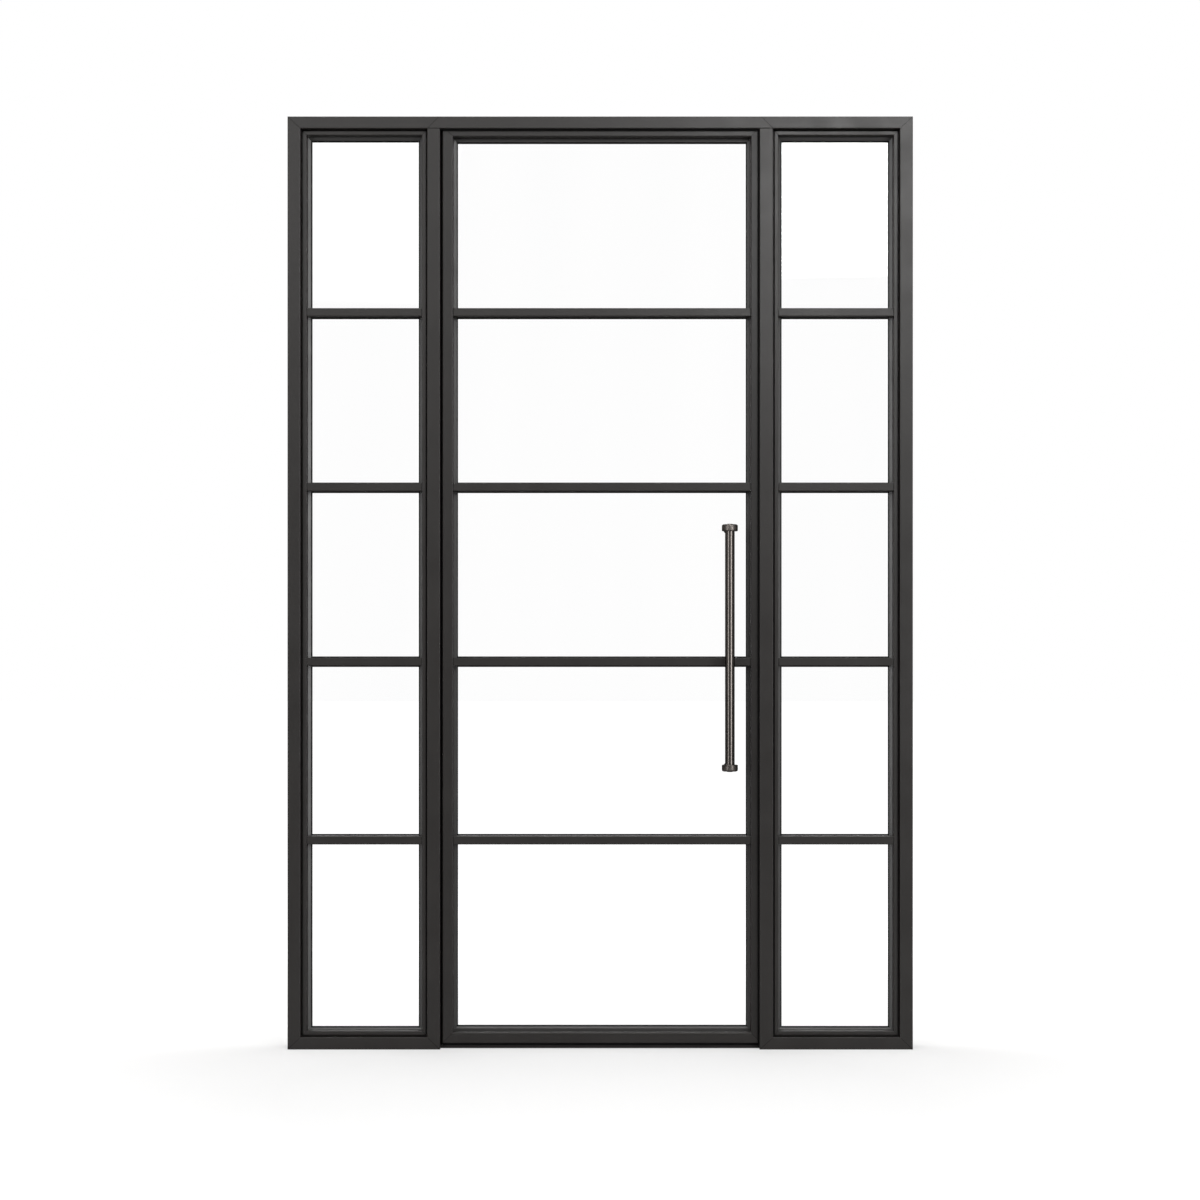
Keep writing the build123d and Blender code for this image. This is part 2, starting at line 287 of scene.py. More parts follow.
def noise(tree, scale, detail=2.0, stretch=(1, 1, 1), slant=0.0):
    """A noise pattern in metres, drawn out along an axis where stretch is below 1."""
    place = tree.nodes.new("ShaderNodeTexCoord")
    turn = tree.nodes.new("ShaderNodeMapping")
    turn.inputs["Rotation"].default_value = (0, slant, 0)
    turn.inputs["Scale"].default_value = stretch
    grain = tree.nodes.new("ShaderNodeTexNoise")
    grain.inputs["Scale"].default_value = scale
    grain.inputs["Detail"].default_value = detail
    tree.links.new(place.outputs["Object"], turn.inputs["Vector"])
    tree.links.new(turn.outputs[0], grain.inputs["Vector"])
    return grain.outputs["Fac"]


def between(tree, factor, low, high):
    """Two colours mixed by a pattern."""
    ramp = tree.nodes.new("ShaderNodeValToRGB")
    ramp.color_ramp.elements[0].position = pattern_low
    ramp.color_ramp.elements[0].color = (*low, 1)
    ramp.color_ramp.elements[1].position = pattern_high
    ramp.color_ramp.elements[1].color = (*high, 1)
    tree.links.new(factor, ramp.inputs["Fac"])
    return ramp.outputs["Color"]


def spread(tree, factor, low, high):
    """A pattern stretched to run from one number to another."""
    return fade(tree, factor, pattern_low, pattern_high, low, high)


def roughen(tree, shader, factor, strength, depth):
    """Bump from a pattern."""
    bump = tree.nodes.new("ShaderNodeBump")
    bump.inputs["Strength"].default_value = strength
    bump.inputs["Distance"].default_value = depth
    tree.links.new(factor, bump.inputs["Height"])
    tree.links.new(bump.outputs[0], shader.inputs["Normal"])


print("patterns use", pattern_low, "to", pattern_high, "of the noise")

# %% [markdown]
# ## Paint
# The steel is sprayed and baked in a satin near-black with a little brown in it. A sprayed coat
# drifts slightly in tone over a hand's width, and has a fine even grain that only shows where
# light glances off it. The leaf's rails and stiles take a darker, less shiny copy of the paint.
# That is painted shade, because the leaf sits back behind the lips of the frame. The lock stile's
# copy is darker still, as painted shadow cast by the lip of the lock mullion. The weld lines are
# painted near-black as painted shade, standing in for the fine groove along each seam. The
# threshold's coat is darker and duller than the frame's.


# %% Paint
def painted_iron(name, low, high, rough, shine):
    """Satin coat: a slight drift of tone, and a fine even grain."""
    finish, tree, shader = start_finish(name)
    tone = between(tree, noise(tree, scale=9.0, detail=4.0), low, high)
    gloss = spread(tree, noise(tree, scale=14.0, detail=3.0), *rough)
    tree.links.new(tone, shader.inputs["Base Color"])
    tree.links.new(gloss, shader.inputs["Roughness"])
    shader.inputs["Specular IOR Level"].default_value = shine
    roughen(tree, shader, noise(tree, scale=750.0), strength=0.10, depth=0.4 * mm)
    return finish


iron_paint = painted_iron(
    "iron_paint", (0.0195, 0.0175, 0.0164), (0.0235, 0.0211, 0.0198), rough=(0.31, 0.37), shine=0.45)
# Painted shade: a darker, less shiny copy of the paint for the leaf, which sits back behind the frame's
# lips.
leaf_painted_shade = painted_iron(
    "leaf_painted_shade", (0.0185, 0.0166, 0.0156), (0.0223, 0.0200, 0.0188), rough=(0.31, 0.37), shine=0.43)
# Painted shadow: a darker copy still for the lock stile, where the lock mullion's lip shades it.
lock_stile_painted_shadow = painted_iron(
    "lock_stile_painted_shadow", (0.0160, 0.0143, 0.0134), (0.0193, 0.0173, 0.0162), rough=(0.31, 0.37), shine=0.37)
bead_paint = painted_iron(
    "bead_paint", (0.0220, 0.0212, 0.0206), (0.0270, 0.0262, 0.0256), rough=(0.36, 0.44), shine=1.0)
door_bead_paint = painted_iron(
    "door_bead_paint", (0.0195, 0.0183, 0.0175), (0.0235, 0.0221, 0.0211), rough=(0.36, 0.44), shine=0.8)
# Painted shade: near-black, standing in for the shade in the fine groove along each weld line.
seam_painted_shade = painted_iron(
    "seam_painted_shade", (0.0070, 0.0065, 0.0062), (0.0090, 0.0084, 0.0080), rough=(0.60, 0.70), shine=0.15)
threshold_paint = painted_iron(
    "threshold_paint", (0.0150, 0.0140, 0.0134), (0.0200, 0.0187, 0.0179), rough=(0.55, 0.68), shine=0.2)
paints = (
    iron_paint, leaf_painted_shade, lock_stile_painted_shadow, bead_paint, door_bead_paint, seam_painted_shade, threshold_paint)
print("paints:", [paint.name for paint in paints])

# %% [markdown]
# ## Bare metals
# The pull is steel darkened to gunmetal. Its rod is polished lengthwise, so its fine lines run
# upright. The collars were turned on a lathe, so theirs run round them and spread the light more.
# The hinges and screws are blackened steel.

# %% Bare metals
upright_lines = (1, 1, 0.004)
lathe_lines = (0.004, 0.004, 1)
faint_lines = (1, 1, 0.3)


def brushed_metal(name, low, high, rough, lines, rim):
    """Metal with fine lines, drawn out where lines is below 1. Rim is its tone at a glance."""
    finish, tree, shader = start_finish(name)
    tone = between(tree, noise(tree, scale=240.0, detail=2.0, stretch=lines), low, high)
    gloss = spread(tree, noise(tree, scale=300.0, detail=2.0, stretch=lines), *rough)
    grain = noise(tree, scale=500.0, detail=1.0, stretch=lines)
    tree.links.new(tone, shader.inputs["Base Color"])
    tree.links.new(gloss, shader.inputs["Roughness"])
    shader.inputs["Metallic"].default_value = 1.0
    shader.inputs["Specular Tint"].default_value = (rim, rim, rim, 1)
    roughen(tree, shader, grain, strength=0.01, depth=0.1 * mm)
    return finish


pull_metal = brushed_metal(
    "pull_gunmetal", (0.114, 0.103, 0.095), (0.146, 0.131, 0.122),
    rough=(0.19, 0.22), lines=upright_lines, rim=0.12)
collar_metal = brushed_metal(
    "collar_gunmetal", (0.090, 0.081, 0.075), (0.170, 0.153, 0.142),
    rough=(0.34, 0.42), lines=lathe_lines, rim=0.12)
hinge_steel = brushed_metal(
    "hinge_steel", (0.060, 0.057, 0.055), (0.078, 0.074, 0.071),
    rough=(0.34, 0.42), lines=faint_lines, rim=0.3)
print("metals:", pull_metal.name, collar_metal.name, hinge_steel.name)

# %% [markdown]
# ## Glass
# The panes are clear and nearly without colour, coated so that they mirror little. A faint
# slanted veil is painted into their colour. It is painted reflection, standing in for the faint
# slanted sheen that soft light lays on glass. Lamps shine through: for the rays that look for a
# lamp the pane is simply transparent.

# %% Glass
reflection_streak_slant = math.radians(24)
reflection_streak_stretch = (3.2, 1, 0.35)
painted_reflection_tone = (0.990, 0.991, 0.992)
clear_tone = (1.0, 1.0, 1.0)
lamp_pass = (0.87, 0.87, 0.87, 1)
coated_index = 1.22
clear_glass, tree, shader = start_finish("clear_glass")
# Painted reflection: faint slanted streaks, slightly darker, in the pane's colour.
reflection_streaks = noise(tree, scale=1.6, detail=1.0, stretch=reflection_streak_stretch, slant=reflection_streak_slant)
painted_reflection = between(tree, reflection_streaks, painted_reflection_tone, clear_tone)
haze = spread(tree, noise(tree, scale=3.0, detail=3.0), low=0.0, high=0.01)
tree.links.new(painted_reflection, shader.inputs["Base Color"])
tree.links.new(haze, shader.inputs["Roughness"])
shader.inputs["Transmission Weight"].default_value = 1.0
shader.inputs["IOR"].default_value = coated_index
path = tree.nodes.new("ShaderNodeLightPath")
let_through = tree.nodes.new("ShaderNodeBsdfTransparent")
let_through.inputs["Color"].default_value = lamp_pass
pane_mix = tree.nodes.new("ShaderNodeMixShader")
glass_out = [node for node in tree.nodes if node.type == "OUTPUT_MATERIAL"][0]
tree.links.new(path.outputs["Is Shadow Ray"], pane_mix.inputs["Fac"])
tree.links.new(shader.outputs[0], pane_mix.inputs[1])
tree.links.new(let_through.outputs[0], pane_mix.inputs[2])
tree.links.new(pane_mix.outputs[0], glass_out.inputs["Surface"])
print("glass:", clear_glass.name)

# %% [markdown]
# ## Rubber
# Gaskets and seals are black rubber: matt, with a slight bloom of grey and a fine tooth.

# %% Rubber
rubber_black = (0.0035, 0.0035, 0.0035)
rubber_bloom = (0.0060, 0.0060, 0.0060)
seal_rubber, tree, shader = start_finish("seal_rubber")
tone = between(tree, noise(tree, scale=60.0, detail=3.0), rubber_black, rubber_bloom)
gloss = spread(tree, noise(tree, scale=40.0), low=0.62, high=0.75)
tree.links.new(tone, shader.inputs["Base Color"])
tree.links.new(gloss, shader.inputs["Roughness"])
shader.inputs["Specular IOR Level"].default_value = 0.06
roughen(tree, shader, noise(tree, scale=1200.0), strength=0.15, depth=0.2 * mm)
print("rubber:", seal_rubber.name)

# %% [markdown]
# ## Dress the solids
# Every solid gets its finish by its name, so nothing is left plain.


# %% Put each finish on its solids
def finish_for(name):
    """The finish that a solid takes."""
    if name.endswith("_glass"):
        return clear_glass
    if name == "door_seal":
        return seal_rubber
    if name == "threshold":
        return threshold_paint
    if name.endswith("_bracket"):
        return collar_metal
    if name.startswith("pull_"):
        return pull_metal
    # Painted shade and shadow: the leaf's rails and stiles take their darker copies of the paint.
    if name == "lock_stile":
        return lock_stile_painted_shadow
    if name in ("hinge_stile", "top_rail", "bottom_rail"):
        return leaf_painted_shade
    if name.startswith("hinge_") and name.endswith("halves"):
        return hinge_steel
    if "bead_" in name:
        return door_bead_paint if name.startswith("door_") else bead_paint
    return iron_paint


for name, solid in nodes.items():
    solid.data.materials.clear()
    solid.data.materials.append(finish_for(name))
print("finishes set on", len(nodes))

# %% [markdown]
# ## The bench
# Small helpers for what follows: clear the bench, choose faces by where they point or corners by
# where they are, ease the edges of a piece, set a piece down as finished, join pieces, and lay out
# copies of one modelled piece.


# %% Clear the bench and choose
def clear_bench():
    """Nothing selected, in object mode."""
    if bpy.context.object and bpy.context.object.mode != "OBJECT":
        bpy.ops.object.mode_set(mode="OBJECT")
    bpy.ops.object.select_all(action="DESELECT")


def choose_faces(piece, test):
    """In edit mode, select the faces whose normal passes a test."""
    bpy.ops.object.mode_set(mode="EDIT")
    bpy.ops.mesh.select_mode(type="FACE")
    bpy.ops.mesh.select_all(action="DESELECT")
    bpy.ops.object.mode_set(mode="OBJECT")
    for face in piece.data.polygons:
        face.select = test(face.normal)
    bpy.ops.object.mode_set(mode="EDIT")


def choose_corners(piece, test):
    """In edit mode, select the corners whose place passes a test."""
    bpy.ops.object.mode_set(mode="EDIT")
    bpy.ops.mesh.select_mode(type="VERT")
    bpy.ops.mesh.select_all(action="DESELECT")
    bpy.ops.object.mode_set(mode="OBJECT")
    for corner in piece.data.vertices:
        corner.select = test(corner.co)
    bpy.ops.object.mode_set(mode="EDIT")


squarely = 0.9
print("a face looks squarely one way within", round(math.degrees(math.acos(squarely))), "degrees")

# %% Ease, join, lay out and set down
sharp_angle = math.radians(35)


def ease_edges(piece, width):
    """Round every sharp edge a little."""
    ease = piece.modifiers.new("ease", "BEVEL")
    ease.width = width
    ease.segments = 2
    ease.limit_method = "ANGLE"
    ease.angle_limit = sharp_angle
    bpy.context.view_layer.objects.active = piece
    bpy.ops.object.modifier_apply(modifier="ease")


def set_down(piece, name, finish, body):
    """Name a piece, give it its finish and let it move with a body."""
    clear_bench()
    piece.select_set(True)
    bpy.context.view_layer.objects.active = piece
    bpy.ops.object.transform_apply(location=True, rotation=True, scale=True)
    bpy.ops.object.shade_smooth_by_angle(angle=sharp_angle)
    piece.name = name
    piece.data.name = name
    piece.data.materials.clear()
    piece.data.materials.append(finish)
    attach(piece, body)
    clear_bench()
    return piece


def join_up(pieces):
    """Several pieces made into one."""
    clear_bench()
    for piece in pieces:
        piece.select_set(True)
    bpy.context.view_layer.objects.active = pieces[0]
    if len(pieces) > 1:
        bpy.ops.object.join()
    return bpy.context.active_object


def lay_out(model, places):
    """Copies of one modelled piece at each place, made into one. The model itself is put away."""
    twins = []
    for place in places:
        twin = model.copy()
        twin.data = model.data.copy()
        twin.location = place
        scene.collection.objects.link(twin)
        twins.append(twin)
    bpy.data.objects.remove(model)
    return join_up(twins)


print("an edge is sharp from", round(math.degrees(sharp_angle)), "degrees")

# %% [markdown]
# ## Gaskets
# Each pane is held between two strips of black rubber, one pressed in behind the front beads and
# bars and one in front of the rear ones. From the room they show as a fine black line round
# every pane. Each is a flat ring: a plane of the pane's size, inset by the strip's width, with
# the middle taken out and the rest drawn back to the glass.

# %% Where the panes are
bead_width = 8.3 * mm
glass_edge_gap = 1.5 * mm
bottom_bead_extra = {"left": -3.5 * mm, "door": 3.0 * mm, "right": -3.5 * mm}
least_parting = 100 * mm


def stacked_edges(node):
    """The low and high edge of each bar or hinge in a node, from the bottom up."""
    heights = sorted({round(corner.co.z, 4) for corner in nodes[node].data.vertices})
    groups = [[heights[0]]]
    for height in heights[1:]:
        if height - groups[-1][-1] > least_parting:
            groups.append([])
        groups[-1].append(height)
    return [(group[0], group[-1]) for group in groups]


def panes(panel, bars):
    """Left, right, bottom and top of each pane between the beads and the bars."""
    low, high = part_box(f"{panel}_glass")
    inset = bead_width - glass_edge_gap
    starts = [low.z + inset + bottom_bead_extra[panel]]
    ends = []
    for bar_low, bar_high in stacked_edges(bars):
        ends.append(bar_low)
        starts.append(bar_high)
    ends.append(high.z - inset)
    return [(low.x + inset, high.x - inset, start, end) for start, end in zip(starts, ends)]


for panel in ("left", "door", "right"):
    lowest_pane = panes(panel, f"{panel}_bars")[0]
    print(panel, "lowest pane:", tuple(round(v, 4) for v in lowest_pane))

# %% How a gasket is made
gasket_ease = 0.4 * mm
level_slack = 0.1 * mm


def rubber_ring(left, right, bottom, top, front, back, width, low_width, high_width):
    """A strip of rubber round a pane, which can be wider at the bars below and above."""
    clear_bench()
    middle = ((left + right) / 2, front, (bottom + top) / 2)
    bpy.ops.mesh.primitive_plane_add(size=1, location=middle, rotation=(math.pi / 2, 0, 0))
    ring = bpy.context.active_object
    ring.scale = (right - left, top - bottom, 1)
    bpy.ops.object.transform_apply(location=True, rotation=True, scale=True)
    bpy.ops.object.mode_set(mode="EDIT")
    bpy.ops.mesh.select_all(action="SELECT")
    bpy.ops.mesh.inset(thickness=width, use_even_offset=True)
    bpy.ops.mesh.delete(type="FACE")
    for level, drop in ((bottom + width, low_width - width), (top - width, width - high_width)):
        choose_corners(ring, lambda place: abs(place.z - level) < level_slack)
        bpy.ops.transform.translate(value=(0, 0, drop))
    bpy.ops.mesh.select_all(action="SELECT")
    bpy.ops.mesh.extrude_region_move(TRANSFORM_OT_translate={"value": (0, back - front, 0)})
    bpy.ops.mesh.select_all(action="SELECT")
    bpy.ops.mesh.normals_make_consistent(inside=False)
    bpy.ops.object.mode_set(mode="OBJECT")
    ease_edges(ring, gasket_ease)
    return ring


print("gasket edges eased by, mm:", round(gasket_ease / mm, 2))

# %% Gaskets
panel_body = {"left": "frame", "door": "leaf", "right": "frame"}
rubber_hair = 0.05 * mm
front_width = {"left": 2.5 * mm, "door": 1.9 * mm, "right": 2.5 * mm}
front_proud = 2.0 * mm
bar_strip = 3.4 * mm
rear_width = 2.0 * mm
rear_proud = 3.0 * mm
for panel, body in panel_body.items():
    low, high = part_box(f"{panel}_glass")
    near = low.y - rubber_hair
    far = high.y + rubber_hair
    width = front_width[panel]
    openings = panes(panel, f"{panel}_bars")
    rings = []
    for pane in openings:
        low_width = width if pane is openings[0] else bar_strip
        high_width = width if pane is openings[-1] else bar_strip
        rings.append(rubber_ring(*pane, near - front_proud, near, width, low_width, high_width))
    set_down(join_up(rings), f"{panel}_front_gaskets", seal_rubber, body)
    rings = []
    for pane in panes(panel, f"{panel}_rear_bars"):
        rings.append(rubber_ring(*pane, far, far + rear_proud, rear_width, rear_width, rear_width))
    set_down(join_up(rings), f"{panel}_rear_gaskets", seal_rubber, body)
    print(panel, "gaskets:", len(openings), "front and", len(rings), "rear")

# %% [markdown]
# ## Door rubbers
# Under the leaf a strip of black rubber, the sweep, closes the gap to the threshold. The seal that
# the leaf shuts against has a bulb on its front, which shows as a black line beside the lips of
# the head and of the lock mullion. That black line also stands in for the shade in the gap
# beside the lips, so it is partly painted shade. A pad in the hinge corner carries the seal down
# to the threshold. Each is a slim bar with one side drawn out to a narrower lip or crown, and each
# stays clear of what passes it, so the leaf still swings freely.

# %% Where the rubbers go
leaf_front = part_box("hinge_stile")[0].y
leaf_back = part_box("hinge_stile")[1].y
bottom_rail_low, bottom_rail_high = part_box("bottom_rail")
threshold_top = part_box("threshold")[1].z
hinge_gap_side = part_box("hinge_mullion")[1].x
lock_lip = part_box("lock_mullion")[0].x
head_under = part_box("head")[0].z
seal_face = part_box("door_seal")[0].y - rubber_hair
rubber_ease = 0.3 * mm
to_floor = Vector((0, 0, -1))
to_room = Vector((0, -1, 0))
to_lock = Vector((1, 0, 0))


def rubber_strip(low, high, lip_side, lip_inset, lip_reach):
    """A bar of rubber between two corners, with the side that faces lip_side drawn out to a lip."""
    clear_bench()
    low = Vector(low)
    high = Vector(high)
    bpy.ops.mesh.primitive_cube_add(size=1, location=(low + high) / 2)
    strip = bpy.context.active_object
    strip.scale = high - low
    bpy.ops.object.transform_apply(location=True, rotation=True, scale=True)
    choose_faces(strip, lambda normal: normal.dot(lip_side) > squarely)
    bpy.ops.mesh.inset(thickness=lip_inset)
    bpy.ops.mesh.extrude_region_move(TRANSFORM_OT_translate={"value": lip_side * lip_reach})
    bpy.ops.object.mode_set(mode="OBJECT")
    ease_edges(strip, rubber_ease)
    return strip


print("gap under the leaf, mm:", round((bottom_rail_low.z - threshold_top) / mm, 2))

# %% The sweep
sweep_gap = 0.9 * mm
sweep_lip = 1.5 * mm
sweep_lip_inset = 1.6 * mm
sweep_end = 0.6 * mm
sweep_setback = 6.0 * mm
sweep_depth = 6.0 * mm
sweep_tuck = 0.4 * mm
sweep_front = leaf_front + sweep_setback
sweep_low = (bottom_rail_low.x + sweep_end, sweep_front, threshold_top + sweep_gap + sweep_lip)
sweep_high = (bottom_rail_high.x - sweep_end, sweep_front + sweep_depth, bottom_rail_low.z + sweep_tuck)
sweep = rubber_strip(sweep_low, sweep_high, to_floor, sweep_lip_inset, sweep_lip)
set_down(sweep, "leaf_bottom_sweep", seal_rubber, "leaf")
print("sweep above threshold, mm:", round(sweep_gap / mm, 2))

# %% The bulbs of the seal
bulb_depth = 2.0 * mm
bulb_crown = 1.0 * mm
bulb_inset = 1.2 * mm
lock_bulb_width = 4.4 * mm
head_bulb_width = 4.0 * mm
bulb_front = seal_face - bulb_depth
bulb_corner = lock_lip - lock_bulb_width
# The bulbs' black is partly painted shade for the gap beside the lips of the head and the lock mullion.
lock_bulb = rubber_strip(
    (bulb_corner, bulb_front, bottom_rail_low.z), (lock_lip, seal_face, head_under),
    to_room, bulb_inset, bulb_crown)
head_bulb = rubber_strip(
    (hinge_gap_side, bulb_front, head_under - head_bulb_width), (bulb_corner, seal_face, head_under),
    to_room, bulb_inset, bulb_crown)
set_down(join_up([lock_bulb, head_bulb]), "door_seal_bulbs", seal_rubber, "frame")
print("bulbs in front of the leaf, mm:", round((leaf_front - seal_face) / mm, 2))

# %% The pad in the hinge corner
pad_gap = 0.6 * mm
pad_lip = 1.0 * mm
pad_lip_inset = 1.2 * mm
pad_setback = 15.0 * mm
pad_depth = 18.0 * mm
pad_front = leaf_front + pad_setback
pad_right = bottom_rail_low.x - pad_gap - pad_lip
pad = rubber_strip(
    (hinge_gap_side + rubber_hair, pad_front, threshold_top + rubber_hair),
    (pad_right, pad_front + pad_depth, bottom_rail_low.z - rubber_hair),
    to_lock, pad_lip_inset, pad_lip)
set_down(pad, "hinge_corner_pad", seal_rubber, "frame")
print("pad beside the leaf, mm:", round(pad_gap / mm, 2))

# %% [markdown]
# ## Weld lines
# The members are cut at 45 degrees, welded, and ground almost flush before painting, which
# leaves a fine line across each corner. A line is a slim bar, a hair proud of the face and eased
# along its edges. It runs from the outer corner to the inner one, and stops a little short of
# both. The cross bars are welded to the uprights too, so each bar end has its own line. Each
# line is painted near-black as painted shade, standing in for the shade in the fine groove along the seam.

# %% How a weld line is made
seam_depth = 0.24 * mm
seam_width = 1.0 * mm
seam_ease = 0.09 * mm


def weld_line(start, end, face):
    """A dressed seam between two points of the front view, on a face at this depth."""
    clear_bench()
    run = Vector((end[0] - start[0], 0, end[1] - start[1]))
    middle = ((start[0] + end[0]) / 2, face, (start[1] + end[1]) / 2)
    tilt = -math.atan2(run.z, run.x)
    bpy.ops.mesh.primitive_cube_add(size=1, location=middle, rotation=(0, tilt, 0))
    seam = bpy.context.active_object
    seam.scale = (run.length, seam_depth, seam_width)
    bpy.ops.object.transform_apply(location=True, rotation=True, scale=True)
    bpy.ops.object.mode_set(mode="EDIT")
    bpy.ops.mesh.select_all(action="SELECT")
    bpy.ops.mesh.bevel(offset=seam_ease, segments=2)
    bpy.ops.object.mode_set(mode="OBJECT")
    return seam


def mitre_line(outer, inner, face, outer_hold, inner_hold):
    """A seam from an outer corner to an inner one, held back from both by so much across and up."""
    ways = [math.copysign(1, b - a) for a, b in zip(outer, inner)]
    start = [a + way * hold for a, way, hold in zip(outer, ways, outer_hold)]
    end = [b - way * hold for b, way, hold in zip(inner, ways, inner_hold)]
    return weld_line(start, end, face)


print("weld line, mm wide:", round(seam_width / mm, 2))

# %% Bar ends and uprights
bar_seam_inset = 1.2 * mm
bar_seam_hold = 1.6 * mm


def bar_end_seams(panel):
    """A line down the end of each bar, where it meets the upright."""
    low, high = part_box(f"{panel}_bars")
    seams = []
    for bar_low, bar_high in stacked_edges(f"{panel}_bars"):
        for x in (low.x + bar_seam_inset, high.x - bar_seam_inset):
            seams.append(weld_line((x, bar_low + bar_seam_hold), (x, bar_high - bar_seam_hold), low.y))
    return seams


def edges_across(node, side):
    """The outer and the inner edge of an upright, where inner means towards the middle of the door."""
    low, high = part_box(node)
    return (low.x, high.x) if side < 0 else (high.x, low.x)


print("hinge mullion from", *(round(x, 4) for x in edges_across("hinge_mullion", -1)))

# %% Where the frame's weld lines go
frame_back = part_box("left_jamb")[1].y
frame_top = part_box("left_jamb")[1].z
sill_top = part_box("left_sill")[1].z
groove_width = 4.0 * mm
sash_face = 10.5 * mm
frame_hold = (1.5 * mm, 1.4 * mm)
foot_hold = (2.0 * mm, 1.8 * mm)
scarf_hold = 1.5 * mm
sash_outer_hold = (0.8 * mm, 0.5 * mm)
sash_inner_hold = (1.0 * mm, 0.7 * mm)
rebate_foot = 13.2 * mm
scarf_run = frame_top - head_under - 2 * scarf_hold
print("slant line over each mullion, mm across:", round(scarf_run / mm, 2))

# %% Weld lines of the frame
frame_seams = []
for side, jamb, mullion in ((-1, "left_jamb", "hinge_mullion"), (1, "right_jamb", "lock_mullion")):
    jamb_out, jamb_in = edges_across(jamb, side)
    mullion_out, mullion_in = edges_across(mullion, side)
    for face in (frame_front, frame_back):
        for level_out, level_in in ((frame_top, head_under), (0.0, sill_top)):
            corners = ((jamb_out, level_out), (jamb_in, level_in))
            frame_seams.append(mitre_line(*corners, face, frame_hold, frame_hold))
    foot = ((mullion_in, 0.0), (mullion_out, sill_top))
    frame_seams.append(mitre_line(*foot, frame_front, foot_hold, frame_hold))
    head_start = mullion_in + side * foot_hold[0]
    head_end = mullion_out - side * frame_hold[0]
    frame_seams.append(weld_line((head_start, head_under), (head_end, head_under), frame_front))
    scarf_start = (head_end, head_under + scarf_hold)
    scarf_end = (head_end - side * scarf_run, scarf_start[1] + scarf_run)
    frame_seams.append(weld_line(scarf_start, scarf_end, frame_front))
    for level, rise in ((sill_top, 1), (head_under, -1)):
        for edge, way in ((mullion_out, side), (jamb_in, -side)):
            outer = (edge + way * groove_width, level + rise * groove_width)
            inner = (outer[0] + way * sash_face, outer[1] + rise * sash_face)
            frame_seams.append(mitre_line(outer, inner, leaf_front, sash_outer_hold, sash_inner_hold))
hinge_out, hinge_in = edges_across("hinge_mullion", -1)
lock_out = edges_across("lock_mullion", 1)[0]
hinge_foot = ((hinge_in, 0.0), (hinge_out, sill_top))
frame_seams.append(mitre_line(*hinge_foot, frame_back, foot_hold, frame_hold))
rebate_start = (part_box("threshold")[1].x + frame_hold[0], rebate_foot)
rebate_end = (lock_out - frame_hold[0], sill_top - frame_hold[1])
frame_seams.append(weld_line(rebate_start, rebate_end, frame_back))
for panel in ("left", "right"):
    frame_seams += bar_end_seams(panel)
frame_seam_count = len(frame_seams)
set_down(join_up(frame_seams), "frame_weld_lines", seam_painted_shade, "frame")
print("weld lines of the frame:", frame_seam_count)

# %% Weld lines of the leaf
top_rail_low, top_rail_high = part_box("top_rail")
glazing_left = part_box("hinge_stile")[1].x
glazing_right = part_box("lock_stile")[0].x
leaf_inner_hold = (2.5 * mm, 2.5 * mm)
bare_hold = 3.0 * mm
under_head_lip = 14.0 * mm
under_lock_lip = 10.0 * mm
leaf_corners = (
    ((top_rail_low.x, top_rail_high.z), (glazing_left, top_rail_low.z), under_head_lip),
    ((top_rail_low.x, bottom_rail_low.z), (glazing_left, bottom_rail_high.z), bare_hold),
    ((top_rail_high.x, top_rail_high.z), (glazing_right, top_rail_low.z), under_head_lip),
    ((top_rail_high.x, bottom_rail_low.z), (glazing_right, bottom_rail_high.z), under_lock_lip),
)
leaf_seams = bar_end_seams("door")
for outer, inner, front_hold in leaf_corners:
    for face, hold in ((leaf_front, front_hold), (leaf_back, bare_hold)):
        leaf_seams.append(mitre_line(outer, inner, face, (hold, hold), leaf_inner_hold))
leaf_seam_count = len(leaf_seams)
set_down(join_up(leaf_seams), "leaf_weld_lines", seam_painted_shade, "leaf")
print("weld lines of the leaf:", leaf_seam_count)

# %% [markdown]
# ## Screws
# The rear beads come off to change a pane, so small socket screws hold them. A screw is a disc
# with its rim eased and a round socket sunk in it: one cylinder, its top inset and pushed down.
# It is modelled once, then copied along each bead. Four larger ones hold the threshold down.

# %% How a screw is made
socket_inset_share = 0.48
socket_depth_share = 0.6
rim_ease_share = 0.12
facing_back = -math.pi / 2
facing_room = math.pi / 2
facing_down = math.pi


def round_blank(radius, height, sides):
    """A cylinder that stands on z = 0, to be worked further."""
    clear_bench()
    middle = (0, 0, height / 2)
    bpy.ops.mesh.primitive_cylinder_add(vertices=sides, radius=radius, depth=height, location=middle)
    bpy.ops.object.transform_apply(location=True, rotation=True, scale=True)
    return bpy.context.active_object


def socket_screw(radius, height):
    """A screw head that faces up, standing on z = 0."""
    screw = round_blank(radius, height, sides=18)
    socket_drop = Vector((0, 0, -height * socket_depth_share))
    choose_faces(screw, lambda normal: normal.z > squarely)
    bpy.ops.mesh.inset(thickness=radius * socket_inset_share)
    bpy.ops.mesh.extrude_region_move(TRANSFORM_OT_translate={"value": socket_drop})
    bpy.ops.object.mode_set(mode="OBJECT")
    ease_edges(screw, radius * rim_ease_share)
    return screw


def turned(piece, facing):
    """The same piece, tipped about the x axis to face another way."""
    clear_bench()
    piece.select_set(True)
    bpy.context.view_layer.objects.active = piece
    piece.rotation_euler = (facing, 0, 0)
    bpy.ops.object.transform_apply(location=True, rotation=True, scale=True)
    return piece


def evenly(low, high, count):
    """So many places between two ends, each in the middle of its share."""
    return [low + (k + 0.5) * (high - low) / count for k in range(count)]


print("screw helpers ready")

